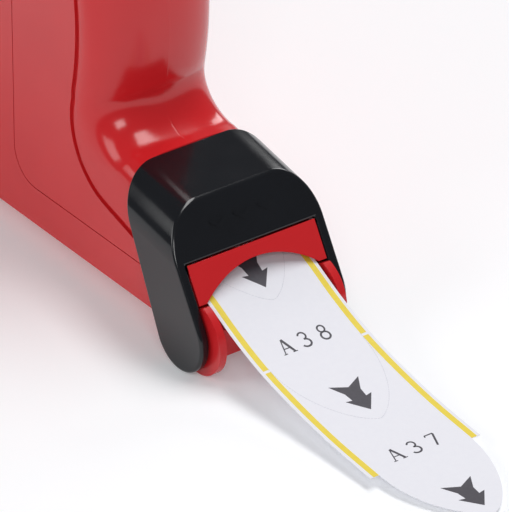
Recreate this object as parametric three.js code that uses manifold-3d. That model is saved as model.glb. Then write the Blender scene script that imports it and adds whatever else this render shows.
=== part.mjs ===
// Hand-pull queue ticket dispenser: round drum housing, nozzle, hood, lip and a strip of tickets.
// Millimetres, +Z up, front towards -Y. Side outlines are drawn as (forward, up) points, where
// forward is measured from the drum's axis and up from the surface that the object stands on.
import * as THREE from "three";
import { mergeVertices } from "three/addons/utils/BufferGeometryUtils.js";
import Module from "manifold-3d";

const wasm = await Module();
wasm.setup();

// ---- driving dimensions -------------------------------------------------------------------
const drumUp = 80.5; // height of the drum's axis
const flangeRadius = 89; // edge of the flat side faces
const crownRadius = 101; // ridge of the rim between the side faces
const bodyHalfWidth = 20.5;
const wall = 1.8;
const underside = 9;
const gap = 0.3; // between pieces that touch

const sweepFlangeRadius = 19; // hollow curve from the drum into the nozzle, at the side faces
const sweepFlangeForward = 104.9;
const sweepFlangeUp = 52.2;
const sweepCrownRadius = 10.8; // the same hollow curve along the ridge
const sweepCrownForward = 109.2;
const sweepCrownUp = 59.8;
const flangeSlope = 16; // degrees, side edge of the nozzle
const crownSlope = 9.7; // degrees, top of the nozzle and hood
const rimPower = 2; // section of the rim: 2 is an ellipse
const nozzlePower = 4.5; // boxier section at the hood
const spigotPower = 10; // nearly square section inside the hood
const nozzleEnd = 133; // front of the nozzle walls

const grooveInset = 2.1;
const grooveWidth = 1.4;
const grooveDepth = 0.6;
const grooveEnd = 121; // hidden inside the hood's leg

const partingUp = 20.5;
const partingForward = 55.5;
const partingCorner = 10;

const hoodHalfWidth = bodyHalfWidth + 4.1;
const hoodWall = 3;
const hoodCorner = 12.5;
const hoodRearForward = 109.8;
const hoodRearUp = 49;
const hoodRearLean = 24.5; // degrees from upright
const hoodFrontForward = 130.3;
const hoodFrontLean = 30.5;
const hoodToeRadius = 10.56;
const hoodToeForward = 138.84;
const panelHeight = 16; // along the lean, down to the panel's lower edge

const lipHeight = 11.7;
const lipThickness = 3;
const archChord = 37.6;
const archRise = 4.5;

const cheekThickness = 2.3;
const cheekToeForward = 142.7;
const cheekToeRadius = 11;

const paperWidth = 36.5;
const paperThickness = 0.4;
const exitForward = 144.3;
const exitUp = 21;
const exitSlope = 22; // degrees
const feedRadius = 265; // the strip's curl near the mouth
const stripTailForward = 107;

const rollRadius = 58;
const coreRadius = 21.2;
const coreWall = 2;
const spindleRadius = 6;
const rollerRadius = 5;
const shaftRadius = 1.5;
const hingeBarrelRadius = 3.8;
const pinRadius = 1.5;
const screwRadius = 1.2;

const plateForward = -96; // rear land of the housing
const plateThickness = 2.4;
const plateWidth = 28;
const plateHeight = 54;
const plateScrewUp = 20; // above and below the drum's axis
const keyholeUp = 8;

const footForward = -52;
const footAcross = 10.5;
const footRadius = 5;

// ---- materials ----------------------------------------------------------------------------
const finish = (color, roughness, metalness = 0) =>
  new THREE.MeshStandardMaterial({ color, roughness, metalness });
const redPlastic = finish(0xc4161c, 0.18);
const blackPlastic = finish(0x0c0d10, 0.15);
const greyPlastic = finish(0x8b8e90, 0.45);
const steel = finish(0xb9bcc0, 0.3, 1);
const rubber = finish(0x1a1a1a, 0.85);
const cardboard = finish(0xb08a5c, 0.9);
const paper = finish(0xf4f4f6, 0.7);

// ---- solids -------------------------------------------------------------------------------
const radians = THREE.MathUtils.degToRad;

function solid(geometry, tolerance = 1e-4) {
  const bare = new THREE.BufferGeometry();
  const flat = geometry.index ? geometry.toNonIndexed() : geometry;
  bare.setAttribute("position", flat.getAttribute("position").clone());
  const merged = mergeVertices(bare, tolerance);
  const kept = [];
  const index = merged.index.array;
  for (let i = 0; i < index.length; i += 3) {
    const [a, b, c] = [index[i], index[i + 1], index[i + 2]];
    if (a !== b && b !== c && c !== a) kept.push(a, b, c);
  }
  return new wasm.Manifold(
    new wasm.Mesh({
      numProp: 3,
      vertProperties: merged.attributes.position.array,
      triVerts: new Uint32Array(kept),
    }),
  );
}

const group = new THREE.Group();

function geometryOf(body) {
  const made = body.getMesh();
  const geometry = new THREE.BufferGeometry();
  geometry.setAttribute("position", new THREE.BufferAttribute(made.vertProperties, 3));
  geometry.setIndex(new THREE.BufferAttribute(made.triVerts, 1));
  return geometry;
}

// Slivers that cuts leave between close vertices are merged away before a piece is kept.
const sliver = 4e-3;
function piece(name, body, material) {
  const geometry = geometryOf(solid(geometryOf(body), sliver));
  geometry.computeVertexNormals();
  const mesh = new THREE.Mesh(geometry, material);
  mesh.name = name;
  group.add(mesh);
}

const union = (...bodies) => bodies.reduce((all, next) => all.add(next));
const v2 = (forward, up) => new THREE.Vector2(forward, up);

// Points of an arc in the side view, from one angle to another in degrees.
function arc(forward, up, radius, from, to, steps = 10) {
  return Array.from({ length: steps + 1 }, (_, i) => {
    const angle = radians(from + ((to - from) * i) / steps);
    return v2(forward + radius * Math.cos(angle), up + radius * Math.sin(angle));
  });
}

// A side-view outline made solid between two places across the object.
function plate(outline, from, to) {
  const geometry = new THREE.ExtrudeGeometry(new THREE.Shape(outline), {
    depth: to - from,
    bevelEnabled: false,
  });
  geometry.applyMatrix4(
    new THREE.Matrix4().makeBasis(
      new THREE.Vector3(0, -1, 0),
      new THREE.Vector3(0, 0, 1),
      new THREE.Vector3(-1, 0, 0),
    ),
  );
  geometry.translate(to, 0, 0);
  return solid(geometry);
}

const block = (f0, f1, u0, u1, x0, x1) =>
  plate([v2(f0, u0), v2(f1, u0), v2(f1, u1), v2(f0, u1)], x0, x1);

const rod = (forward, up, radius, from, to, steps = 24) =>
  plate(arc(forward, up, radius, 0, 360 - 360 / steps, steps - 1), from, to);

// A turned piece from [radius, distance] points, set at a place and pointed along a direction.
function turned(profile, place, direction, steps = 24) {
  const geometry = new THREE.LatheGeometry(
    profile.map(([radius, distance]) => v2(radius, distance)),
    steps,
  );
  const turn = new THREE.Quaternion().setFromUnitVectors(
    new THREE.Vector3(0, 1, 0),
    direction.clone().normalize(),
  );
  geometry.applyQuaternion(turn);
  geometry.translate(place.x, place.y, place.z);
  return solid(geometry);
}

const panScrew = (place, direction, length, head = 2.4) =>
  turned(
    [[0, -1.7], [head * 0.8, -1.7], [head, -1], [head, 0], [screwRadius, 0],
      [screwRadius, length], [0, length]],
    place,
    direction,
    16,
  );

// A closed solid from ribs: each rib is a closed loop of as many points.
function loft(ribs) {
  const count = ribs[0].length;
  const points = ribs.flat();
  const faces = [];
  for (let r = 0; r + 1 < ribs.length; r++) {
    for (let i = 0; i < count; i++) {
      const next = (i + 1) % count;
      const [a, b] = [r * count + i, r * count + next];
      const [c, d] = [a + count, b + count];
      faces.push(a, b, c, b, d, c);
    }
  }
  const last = (ribs.length - 1) * count;
  for (let i = 1; i + 1 < count; i++) {
    faces.push(0, i + 1, i);
    faces.push(last, last + i, last + i + 1);
  }
  const geometry = new THREE.BufferGeometry().setFromPoints(points);
  geometry.setIndex(faces);
  const made = solid(geometry);
  if (made.volume() >= 0) return made;
  geometry.setIndex(faces.map((_, i) => faces[i - (i % 3) + [0, 2, 1][i % 3]]));
  return solid(geometry);
}

// ---- body outline -------------------------------------------------------------------------
const along = (angle) => v2(Math.cos(angle), Math.sin(angle));
const drumCentre = v2(0, drumUp);

// The hollow sweep, from its join with the drum to its join with the nozzle's sloping edge.
function sweep(centre, radius, slope, share) {
  const join = Math.atan2(drumCentre.y - centre.y, drumCentre.x - centre.x);
  const end = radians(270 - slope);
  return centre.clone().addScaledVector(along(join + (end - join) * share), radius);
}
const flangeSweep = (share, inset) =>
  sweep(v2(sweepFlangeForward, sweepFlangeUp), sweepFlangeRadius + inset, flangeSlope, share);
const crownSweep = (share, inset) =>
  sweep(v2(sweepCrownForward, sweepCrownUp), sweepCrownRadius + inset, crownSlope, share);
const slide = (start, forward, slope) =>
  v2(forward, start.y - (forward - start.x) * Math.tan(radians(slope)));

const acrossSteps = 14;
// One rib over the nozzle: up one side, over the top and down the other.
function rib(side, crown, power, halfWidth, bottom) {
  const points = [new THREE.Vector3(-halfWidth, -bottom.x, bottom.y)];
  for (let i = 0; i <= acrossSteps; i++) {
    const turn = Math.PI * (1 - i / acrossSteps);
    const share = Math.cos(turn);
    const x = Math.sign(share) * Math.abs(share) ** (2 / power) * halfWidth;
    const rise = Math.max(0, Math.sin(turn)) ** (2 / power);
    const at = side.clone().lerp(crown, rise);
    points.push(new THREE.Vector3(i === acrossSteps ? halfWidth : i ? x : -halfWidth, -at.x, at.y));
  }
  points.push(new THREE.Vector3(halfWidth, -bottom.x, bottom.y));
  return points;
}

const sweepSteps = 9;
function nozzle(inset, end) {
  const halfWidth = bodyHalfWidth - inset;
  const floor = underside + inset;
  const ribs = [];
  for (let i = 0; i <= sweepSteps; i++) {
    const share = i / sweepSteps;
    const side = flangeSweep(share, inset);
    const crown = crownSweep(share, inset);
    if (i === 0) {
      side.lerp(drumCentre, 0.006);
      crown.lerp(drumCentre, 0.006);
    }
    const power = rimPower + (nozzlePower - rimPower) * share ** 1.5;
    ribs.push(rib(side, crown, power, halfWidth, v2(40 + 54 * share, floor)));
  }
  const side = flangeSweep(1, inset);
  const crown = crownSweep(1, inset);
  const drop = inset > 0 ? hoodWall + gap : 0;
  const hoodStart = hoodRearForward + 0.6;
  const station = (forward, down, power) =>
    ribs.push(
      rib(
        slide(side, forward, flangeSlope),
        slide(crown, forward, crownSlope).add(v2(0, -down)),
        power,
        halfWidth,
        v2(forward, floor),
      ),
    );
  station(hoodStart, drop ? drop * 0.9 : 0, drop ? spigotPower : nozzlePower);
  station(end, drop, drop ? spigotPower : nozzlePower);
  return loft(ribs);
}

function drum(inset) {
  const profile = [[0, -(bodyHalfWidth - inset)]];
  const steps = acrossSteps;
  for (let i = 0; i <= steps; i++) {
    const turn = (Math.PI * i) / steps - Math.PI / 2;
    const out = (crownRadius - flangeRadius) * Math.cos(turn);
    profile.push([flangeRadius - inset + out, (bodyHalfWidth - inset) * Math.sin(turn)]);
  }
  profile.push([0, bodyHalfWidth - inset]);
  return turned(profile, new THREE.Vector3(0, 0, drumUp), new THREE.Vector3(1, 0, 0), 84);
}

const far = 320;
const wide = 60;
const wholeBody = (inset, end) =>
  union(drum(inset), nozzle(inset, end)).intersect(
    block(plateForward + inset, far, underside + inset, far, -wide, wide),
  );

// ---- leaning front of the hood ------------------------------------------------------------
const rearLine = v2(Math.sin(radians(hoodRearLean)), -Math.cos(radians(hoodRearLean)));
const frontLine = v2(Math.sin(radians(hoodFrontLean)), -Math.cos(radians(hoodFrontLean)));
const hoodRear = v2(hoodRearForward, hoodRearUp);
const hoodFront = slide(hoodRear, hoodFrontForward, crownSlope);
const inward = v2(frontLine.y, -frontLine.x); // square to the front, into the hood
// A point on the hood's front face, down the lean and then in from it.
const onFront = (down, depth = 0) =>
  hoodFront.clone().addScaledVector(frontLine, down).addScaledVector(inward, depth);

function hoodOutline() {
  const toe = v2(hoodToeForward, hoodToeRadius);
  const start = -(hoodRearLean + 180) + 360 - 0;
  const rearAngle = 180 + hoodRearLean;
  return [
    hoodRear,
    ...arc(toe.x, toe.y, hoodToeRadius, rearAngle, start + hoodFrontLean + hoodRearLean + 180, 14),
    hoodFront,
  ];
}

// Inverted-U section across the hood, run along the slope of its top.
function arch(halfWidth, corner, lower, rearShift) {
  const shape = new THREE.Shape();
  shape.moveTo(-halfWidth, -60);
  shape.lineTo(halfWidth, -60);
  shape.lineTo(halfWidth, -lower - corner);
  shape.absarc(halfWidth - corner, -lower - corner, corner, 0, Math.PI / 2, false);
  shape.lineTo(-halfWidth + corner, -lower);
  shape.absarc(-halfWidth + corner, -lower - corner, corner, Math.PI / 2, Math.PI, false);
  const geometry = new THREE.ExtrudeGeometry(shape, {
    depth: 90,
    bevelEnabled: false,
    curveSegments: 8,
  });
  geometry.rotateX(Math.PI / 2);
  geometry.translate(0, rearShift, 0);
  geometry.rotateX(radians(crownSlope));
  geometry.translate(0, -hoodRearForward, hoodRearUp);
  return solid(geometry);
}

function makeHood() {
  const outer = plate(hoodOutline(), -hoodHalfWidth, hoodHalfWidth);
  const inner = hoodHalfWidth - hoodWall;
  const hollow = plate(
    [
      v2(80, -30),
      v2(80, 80),
      onFront(-30, hoodWall),
      onFront(panelHeight - 4, hoodWall),
      onFront(panelHeight, hoodWall - 0.01),
      onFront(panelHeight, -20),
      v2(far, -30),
    ],
    -inner,
    inner,
  );
  return outer
    .intersect(arch(hoodHalfWidth, hoodCorner, 0, 40))
    .subtract(hollow.intersect(arch(inner, hoodCorner - hoodWall, hoodWall, 40)));
}

// ---- housing and cover --------------------------------------------------------------------
// The groove follows the side face's edge, from inside the hood's leg back over the drum.
function grooveCut() {
  const outline = (inset) => {
    const start = flangeSweep(0, inset);
    const from = THREE.MathUtils.radToDeg(Math.atan2(start.y - drumUp, start.x));
    const sweepPart = Array.from({ length: 10 }, (_, i) => flangeSweep((9 - i) / 9, inset));
    return [
      slide(flangeSweep(1, inset), grooveEnd, flangeSlope),
      ...sweepPart,
      ...arc(0, drumUp, flangeRadius - inset, from, 225, 60).slice(1),
      v2(grooveEnd, underside + 4),
    ];
  };
  const band = (from, to) =>
    plate(outline(grooveInset), from, to).subtract(
      plate(outline(grooveInset + grooveWidth), from - 1, to + 1),
    );
  const inside = bodyHalfWidth - grooveDepth;
  // The two outlines part again along their straight closing edges, which are left uncut.
  const closing = plate(
    [v2(-54, 26), v2(60, 40), v2(96, 27), v2(grooveEnd + 4, 20), v2(grooveEnd + 4, -10), v2(-70, -10),
      v2(-70, 24)],
    -wide,
    wide,
  );
  return union(band(-wide, -inside), band(inside, wide)).subtract(closing);
}

// Everything above and ahead of the parting line.
const coverRegion = (clearance) =>
  plate(
    [
      v2(far, partingUp + clearance),
      ...arc(
        partingForward + partingCorner,
        partingUp + partingCorner,
        partingCorner - clearance,
        270,
        180,
        8,
      ),
      v2(partingForward + clearance, far),
      v2(far, far),
    ],
    -wide,
    wide,
  );

const hingeForward = partingForward;
const hingeUp = drumUp + Math.sqrt(crownRadius ** 2 - partingForward ** 2);
const knuckle = (from, to, grow = 0) =>
  rod(hingeForward, hingeUp, hingeBarrelRadius + grow, from, to);
const coverKnuckleHalf = 5.5;
const rearKnuckleEnd = 10.5;

// The space outside the hood's inner face, which the nozzle keeps clear of.
function hoodJacket() {
  const start = hoodRear.clone().addScaledVector(v2(-1, 0), gap);
  const ahead = plate(
    [
      v2(start.x, far),
      start,
      start.clone().addScaledVector(rearLine, 80),
      v2(far, -30),
      v2(far, far),
    ],
    -wide,
    wide,
  );
  const kept = arch(hoodHalfWidth - hoodWall - gap, hoodCorner - hoodWall, hoodWall + gap, 40);
  return ahead.subtract(kept);
}

const shell = wholeBody(0, nozzleEnd)
  .subtract(hoodJacket())
  .subtract(wholeBody(wall, nozzleEnd + 5))
  .subtract(grooveCut());
const pinBore = rod(hingeForward, hingeUp, pinRadius + gap, -wide, wide, 16);

const backward = new THREE.Vector3(0, 1, 0);
const upward = new THREE.Vector3(0, 0, 1);
const forwardWay = new THREE.Vector3(0, -1, 0);
const sideways = new THREE.Vector3(1, 0, 0);
const plateScrewPlaces = [drumUp - plateScrewUp, drumUp + plateScrewUp];
const keyholePlaces = [drumUp - keyholeUp, drumUp + keyholeUp];

// A keyhole, seen from behind: a round entry with a narrower slot above it.
function keyhole(up, entry, slot, from, to) {
  const hole = (radius, height) => {
    const shape = [[0, 0], [radius, 0], [radius, to - from], [0, to - from]];
    return turned(shape, new THREE.Vector3(0, -from, height), forwardWay, 20);
  };
  return union(hole(entry, up - 2), hole(slot, up + 2.6), block(from, to, up - 2, up + 2.6, -slot, slot));
}

function makeRearHousing() {
  let body = shell.subtract(coverRegion(0));
  body = body.subtract(knuckle(-coverKnuckleHalf - gap, coverKnuckleHalf + gap, 0.5));
  for (const side of [-1, 1]) {
    const ends = [side * (coverKnuckleHalf + gap), side * rearKnuckleEnd].sort((a, b) => a - b);
    body = body.add(knuckle(...ends));
    body = body.subtract(footPocket(side));
  }
  for (const up of plateScrewPlaces) {
    const boss = [[0, 0], [4, 0], [4, 9], [0, 9]];
    body = body.add(turned(boss, new THREE.Vector3(0, -plateForward, up), forwardWay, 20));
    const pilot = [[0, -1], [1.5, -1], [1.5, 7], [0, 7]];
    body = body.subtract(turned(pilot, new THREE.Vector3(0, -plateForward, up), forwardWay, 16));
  }
  for (const up of keyholePlaces) {
    body = body.subtract(keyhole(up, 4.6, 4.6, plateForward - 2, plateForward + 5));
  }
  for (const place of cradleScrewPlaces) {
    body = body.subtract(rod2(place, screwRadius + gap, underside - 1, underside + wall + 1));
  }
  return body.subtract(pinBore).subtract(rod(0, drumUp, spindleRadius + gap, -wide, wide, 32));
}

// An upright cylinder at a (forward, across) place.
function rod2(place, radius, from, to) {
  const profile = [[0, from], [radius, from], [radius, to], [0, to]];
  return turned(profile, new THREE.Vector3(place.across, -place.forward, 0), upward, 20);
}

const heelForward = [-63, -41];
const footPlace = (side) => ({ forward: footForward, across: side * footAcross });
const footPocket = (side) => rod2(footPlace(side), footRadius + gap, -2, 4.6);
const cradleScrewPlaces = [-1, 1].map((side) => ({ forward: 100, across: side * 11 }));

function makeHeel(body) {
  let heel = plate(
    [v2(heelForward[0], underside + 0.5), v2(heelForward[0] + 2, 2), v2(heelForward[1] - 2, 2),
      v2(heelForward[1], underside + 0.5)],
    -17,
    17,
  );
  for (const side of [-1, 1]) heel = heel.subtract(footPocket(side));
  return body.add(heel);
}

function makeFrontCover() {
  let body = shell.intersect(coverRegion(gap));
  body = body.intersect(
    plate(
      [v2(0, 0), v2(0, 300), v2(128.2, 300), v2(128.2, 42), v2(nozzleEnd, 34), v2(nozzleEnd, 0)],
      -wide,
      wide,
    ),
  );
  for (const side of [-1, 1]) {
    const ends = [side * coverKnuckleHalf, side * (rearKnuckleEnd + gap)].sort((a, b) => a - b);
    body = body.subtract(knuckle(...ends, 0.5));
    body = body.subtract(hoodScrewHole(side));
  }
  body = body.add(knuckle(-coverKnuckleHalf, coverKnuckleHalf));
  body = body.subtract(springScrewHole());
  return body.subtract(pinBore);
}

// ---- fasteners of the hood and lip ---------------------------------------------------------
const hoodScrewForward = 123;
const hoodScrewUp = 23.5;
const hoodScrewPlace = (side) =>
  new THREE.Vector3(side * (bodyHalfWidth - wall - gap), -hoodScrewForward, hoodScrewUp);
const hoodScrewWay = (side) => new THREE.Vector3(side, 0, 0);
const hoodScrewLength = 4.8;
const hoodScrewHole = (side) =>
  turned(
    [[0, 0], [screwRadius + gap, 0], [screwRadius + gap, hoodScrewLength + gap], [0, hoodScrewLength + gap]],
    hoodScrewPlace(side),
    hoodScrewWay(side),
    16,
  );

const lipTabHeight = 8;
const lipTabHalf = 15;
const lipScrewAcross = 10;
const lipScrewPlace = (side) => {
  const at = onFront(panelHeight - 5, hoodWall + 2.3 + gap);
  return new THREE.Vector3(side * lipScrewAcross, -at.x, at.y);
};
const outOfFront = new THREE.Vector3(0, inward.x, -inward.y);
const lipScrewHole = (side) =>
  turned(
    [[0, -3], [screwRadius + gap, -3], [screwRadius + gap, 4.4], [0, 4.4]],
    lipScrewPlace(side),
    outOfFront,
    16,
  );

function makeLip() {
  const top = panelHeight + gap;
  const bottom = panelHeight + lipHeight;
  const face = plate(
    [onFront(top, 0), onFront(bottom, 0), onFront(bottom, lipThickness), onFront(top, lipThickness)],
    -(hoodHalfWidth - hoodWall - gap),
    hoodHalfWidth - hoodWall - gap,
  );
  const tab = plate(
    [
      onFront(top + 1.5, lipThickness - 0.5),
      onFront(top + 1.5, hoodWall + 2.3),
      onFront(panelHeight - lipTabHeight, hoodWall + 2.3),
      onFront(panelHeight - lipTabHeight, hoodWall + gap),
      onFront(top + 0.2, hoodWall + gap),
      onFront(top + 0.2, lipThickness - 0.5),
    ],
    -lipTabHalf,
    lipTabHalf,
  );
  const archRadius = ((archChord / 2) ** 2 + archRise ** 2) / (2 * archRise);
  const base = onFront(bottom, 0);
  const path = v2(Math.cos(radians(exitSlope)), -Math.sin(radians(exitSlope)));
  // The arch is cut along the strip's own way out, so the paper clears the lip's full thickness.
  const shape = new THREE.Shape();
  const half = archChord / 2;
  shape.moveTo(-half, -20);
  shape.lineTo(half, -20);
  shape.lineTo(half, 0);
  const swing = Math.asin(half / archRadius);
  shape.absarc(0, archRise - archRadius, archRadius, Math.PI / 2 - swing, Math.PI / 2 + swing, false);
  const cut = new THREE.ExtrudeGeometry(shape, { depth: 40, bevelEnabled: false, curveSegments: 16 });
  cut.translate(0, 0, -20);
  cut.applyMatrix4(
    new THREE.Matrix4().makeBasis(
      new THREE.Vector3(1, 0, 0),
      new THREE.Vector3(0, path.y, path.x).normalize(),
      new THREE.Vector3(0, -path.x, path.y),
    ),
  );
  cut.applyMatrix4(new THREE.Matrix4().makeTranslation(0, -base.x, base.y));
  let body = union(face, tab).subtract(solid(cut));
  for (const side of [-1, 1]) body = body.subtract(lipScrewHole(side));
  return body;
}

// ---- paper path ---------------------------------------------------------------------------
const feedCentre = v2(
  exitForward + feedRadius * Math.sin(radians(exitSlope)),
  exitUp + feedRadius * Math.cos(radians(exitSlope)),
);
const onCurl = (forward, radius) =>
  v2(forward, feedCentre.y - Math.sqrt(radius ** 2 - (forward - feedCentre.x) ** 2));

const freeStrip = new THREE.CatmullRomCurve3(
  [[exitForward, exitUp], [155, 15.9], [166.6, 10.7], [180, 7], [198, 4.4], [217, 2.9], [232, 1.8],
    [247, 1.2]].map(([forward, up]) => new THREE.Vector3(forward, up, 0)),
);
const tongueStart = 217;
const tongueEnd = 247;
const tongueHalf = 15.4;

// Half the strip's width at a distance forward: full, then the rounded tongue.
function stripHalf(forward) {
  if (forward <= tongueStart) return paperWidth / 2;
  const share = (forward - tongueStart) / (tongueEnd - tongueStart);
  return Math.max(0.6, tongueHalf * Math.max(0, 1 - share ** 2.4) ** 0.62);
}

// A thin sheet from its middle line in the side view and its half width along it.
function sheet(line, halfWidth) {
  const half = paperThickness / 2;
  return loft(
    line.map((at, i) => {
      const before = line[Math.max(0, i - 1)];
      const after = line[Math.min(line.length - 1, i + 1)];
      const way = after.clone().sub(before).normalize();
      const [f, u] = [-way.y * half, way.x * half];
      const w = halfWidth(at.x, i);
      return [
        new THREE.Vector3(-w, -(at.x + f), at.y + u),
        new THREE.Vector3(w, -(at.x + f), at.y + u),
        new THREE.Vector3(w, -(at.x - f), at.y - u),
        new THREE.Vector3(-w, -(at.x - f), at.y - u),
      ];
    }),
  );
}

function makeStrip() {
  const inside = Array.from({ length: 9 }, (_, i) =>
    onCurl(stripTailForward + ((exitForward - stripTailForward) * i) / 9, feedRadius),
  );
  const outside = freeStrip.getSpacedPoints(36).map((p) => v2(p.x, p.y));
  const line = [...inside, ...outside];
  const shoulder = line.findIndex((p) => p.x > tongueStart);
  const step = freeStrip.getSpacedPoints(400).find((p) => p.x > tongueStart);
  line.splice(shoulder, 0, v2(step.x - 0.4, step.y), v2(step.x, step.y));
  return sheet(line, (forward) => stripHalf(forward));
}

const rollerCentre = (() => {
  const reach = feedRadius + paperThickness * 1.5 + 2 * gap + rollerRadius;
  const at = radians(29.3);
  return v2(feedCentre.x - reach * Math.sin(at), feedCentre.y - reach * Math.cos(at));
})();

function makeWeb() {
  const webRadius = feedRadius + paperThickness + gap;
  const a = rollRadius + gap + paperThickness / 2;
  const b = rollerRadius + gap + paperThickness / 2;
  const reach = rollerCentre.clone().sub(drumCentre);
  const heading = Math.atan2(reach.y, reach.x) + Math.asin((a + b) / reach.length());
  const start = drumCentre.clone().addScaledVector(along(heading - Math.PI / 2), a);
  const line = [start.clone().lerp(rollerCentre.clone().addScaledVector(along(heading + Math.PI / 2), b), 0.002)];
  const from = THREE.MathUtils.radToDeg(heading) + 90;
  line.push(...arc(rollerCentre.x, rollerCentre.y, b, from, 90 - 29.3, 5));
  for (let i = 1; i <= 8; i++) {
    const forward = line[6].x + ((exitForward - 3 - line[6].x) * i) / 8;
    line.push(onCurl(forward, webRadius));
  }
  return sheet(line, () => paperWidth / 2);
}

// ---- cradle, roller and roll ---------------------------------------------------------------
const postAcross = [15.3, 17.3];
function makeCradle() {
  const inner = hoodHalfWidth - hoodWall - gap;
  const lipUnder = onFront(panelHeight + lipHeight + gap, 0);
  const lipUnderRear = lipUnder.clone().addScaledVector(inward, 12.8);
  const cheekOutline = [
    v2(cheekToeForward, 0),
    ...arc(cheekToeForward, cheekToeRadius, cheekToeRadius, -80, 74, 14),
    lipUnderRear,
    v2(nozzleEnd + gap, 3),
    v2(nozzleEnd + gap + 3, 0),
  ];
  let body = null;
  const cheekBound = plate(
    [lipUnder.clone().addScaledVector(inward, -30), lipUnder.clone().addScaledVector(inward, 30),
      v2(90, -40), v2(190, -40)],
    -wide,
    wide,
  );
  for (const side of [-1, 1]) {
    const ends = [side * (inner - cheekThickness), side * inner].sort((a, b) => a - b);
    const cheek = plate(cheekOutline, ...ends).intersect(cheekBound);
    body = body ? body.add(cheek) : cheek;
  }
  const floorHalf = inner - cheekThickness + 0.3;
  const floor = plate(
    [v2(nozzleEnd + 0.8, 18.6), v2(147, 13.2), v2(147, 11), v2(146, 4), v2(144, 4), v2(145, 11),
      v2(nozzleEnd + 0.8, 16.4)],
    -floorHalf,
    floorHalf,
  );
  const trayHalf = bodyHalfWidth - wall - gap;
  const trayBase = underside + wall + gap;
  const tray = plate(
    [v2(94, trayBase), v2(94, 13.3), v2(126, 13.3), v2(nozzleEnd + 1.8, 18.2),
      v2(nozzleEnd + 1.8, 14.5), v2(nozzleEnd - 2, trayBase)],
    -trayHalf,
    trayHalf,
  );
  body = body.add(floor).add(tray);
  for (const side of [-1, 1]) {
    const ends = postAcross.map((x) => side * x).sort((a, b) => a - b);
    const post = plate(
      [v2(rollerCentre.x - 7, 12), v2(rollerCentre.x + 7, 12),
        ...arc(rollerCentre.x, rollerCentre.y, 4, -10, 190, 12)],
      ...ends,
    );
    body = body.add(post);
  }
  body = body.subtract(rod(rollerCentre.x, rollerCentre.y, shaftRadius + gap, -wide, wide, 16));
  for (const place of cradleScrewPlaces) {
    body = body.subtract(rod2(place, screwRadius + gap, 10, 20));
  }
  return body;
}

const springScrewForward = 121;
const springWay = new THREE.Vector3(0, -Math.sin(radians(crownSlope)), Math.cos(radians(crownSlope)));
const spigotInner = (forward) => {
  const start = crownSweep(1, wall);
  return slide(start, forward, crownSlope).y - hoodWall - gap;
};
const springScrewPlace = new THREE.Vector3(0, -springScrewForward, spigotInner(springScrewForward) - 1.2);
const springScrewHole = () =>
  turned([[0, 0], [1.3, 0], [1.3, 5], [0, 5]], springScrewPlace, springWay, 16);

function makeSpring() {
  const top = (forward) => spigotInner(forward) - gap;
  const half = 0.3;
  const line = [v2(125, top(125) - half), v2(118, top(118) - half), v2(114, 39.9), v2(111.5, 39.5),
    v2(109.5, 41.2)];
  const body = loft(
    line.map((at, i) => {
      const before = line[Math.max(0, i - 1)];
      const after = line[Math.min(line.length - 1, i + 1)];
      const way = after.clone().sub(before).normalize();
      const [f, u] = [-way.y * half, way.x * half];
      return [
        new THREE.Vector3(-6, -(at.x + f), at.y + u),
        new THREE.Vector3(6, -(at.x + f), at.y + u),
        new THREE.Vector3(6, -(at.x - f), at.y - u),
        new THREE.Vector3(-6, -(at.x - f), at.y - u),
      ];
    }),
  );
  return body.subtract(
    turned([[0, -3], [1.3, -3], [1.3, 5], [0, 5]], springScrewPlace, springWay, 16),
  );
}

const ring = (inner, outer, half, steps = 56) =>
  rod(0, drumUp, outer, -half, half, steps).subtract(
    rod(0, drumUp, inner, -half - 1, half + 1, steps),
  );

function makeSpindle() {
  const out = bodyHalfWidth + gap;
  return turned(
    [[0, -out - 2.2], [9, -out - 2.2], [11, -out - 1.2], [11, -out], [spindleRadius, -out],
      [spindleRadius, out + 1.6], [0, out + 1.6]],
    new THREE.Vector3(0, 0, drumUp),
    sideways,
    32,
  );
}

function makeSpindleCap() {
  const inner = bodyHalfWidth + gap;
  const place = new THREE.Vector3(0, 0, drumUp);
  const cap = [[0, inner], [11, inner], [11, inner + 1.2], [9, inner + 2.6], [0, inner + 2.6]];
  const end = inner + 1.6 + gap;
  const pocket = [[0, inner - 1], [spindleRadius + gap, inner - 1], [spindleRadius + gap, end], [0, end]];
  return turned(cap, place, sideways, 32).subtract(turned(pocket, place, sideways, 32));
}

function makeWallPlate() {
  let body = block(
    plateForward - gap - plateThickness,
    plateForward - gap,
    drumUp - plateHeight / 2,
    drumUp + plateHeight / 2,
    -plateWidth / 2,
    plateWidth / 2,
  );
  const back = plateForward - gap - plateThickness;
  for (const up of keyholePlaces) body = body.subtract(keyhole(up, 4, 2.1, back - 1, plateForward));
  for (const up of plateScrewPlaces) {
    const sink = [[0, -1], [4, -1], [4, 0], [1.5, 2], [1.5, 4], [0, 4]];
    body = body.subtract(turned(sink, new THREE.Vector3(0, -back, up), forwardWay, 20));
  }
  return body;
}

function plateScrew(up) {
  const back = plateForward - gap - plateThickness;
  const profile = [[0, 0.2], [3.3, 0.2], [screwRadius, 2], [screwRadius, 8], [0, 8]];
  return turned(profile, new THREE.Vector3(0, -back, up), forwardWay, 16);
}

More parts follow.
